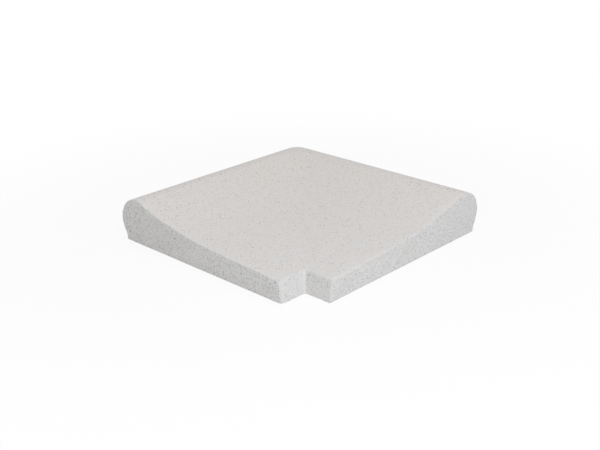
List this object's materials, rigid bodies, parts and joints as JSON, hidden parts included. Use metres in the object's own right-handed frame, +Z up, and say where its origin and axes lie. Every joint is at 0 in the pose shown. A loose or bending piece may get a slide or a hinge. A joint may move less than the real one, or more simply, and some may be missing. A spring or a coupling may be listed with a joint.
{
  "type": "coping corner",
  "caption": "Cast stone pool coping, outside corner: a round raised lip on two edges, a hollow-swept top falling to a thin back edge, and a square notch at the inner corner.",
  "frame": {"origin": "middle of the underside's square plan, on the underside", "axes": "+Z up; the lip runs along the +X and +Y edges; the joint faces are at -X and -Y, and the notch at the -X -Y corner"},
  "size_m": [0.373, 0.373, 0.068],
  "materials": {
    "cast_stone": "fine-grained white cast stone, shot with small grey and tan grains"
  },
  "bodies": {
    "root": {"coping_corner": "cast_stone"}
  },
  "joints": []
}
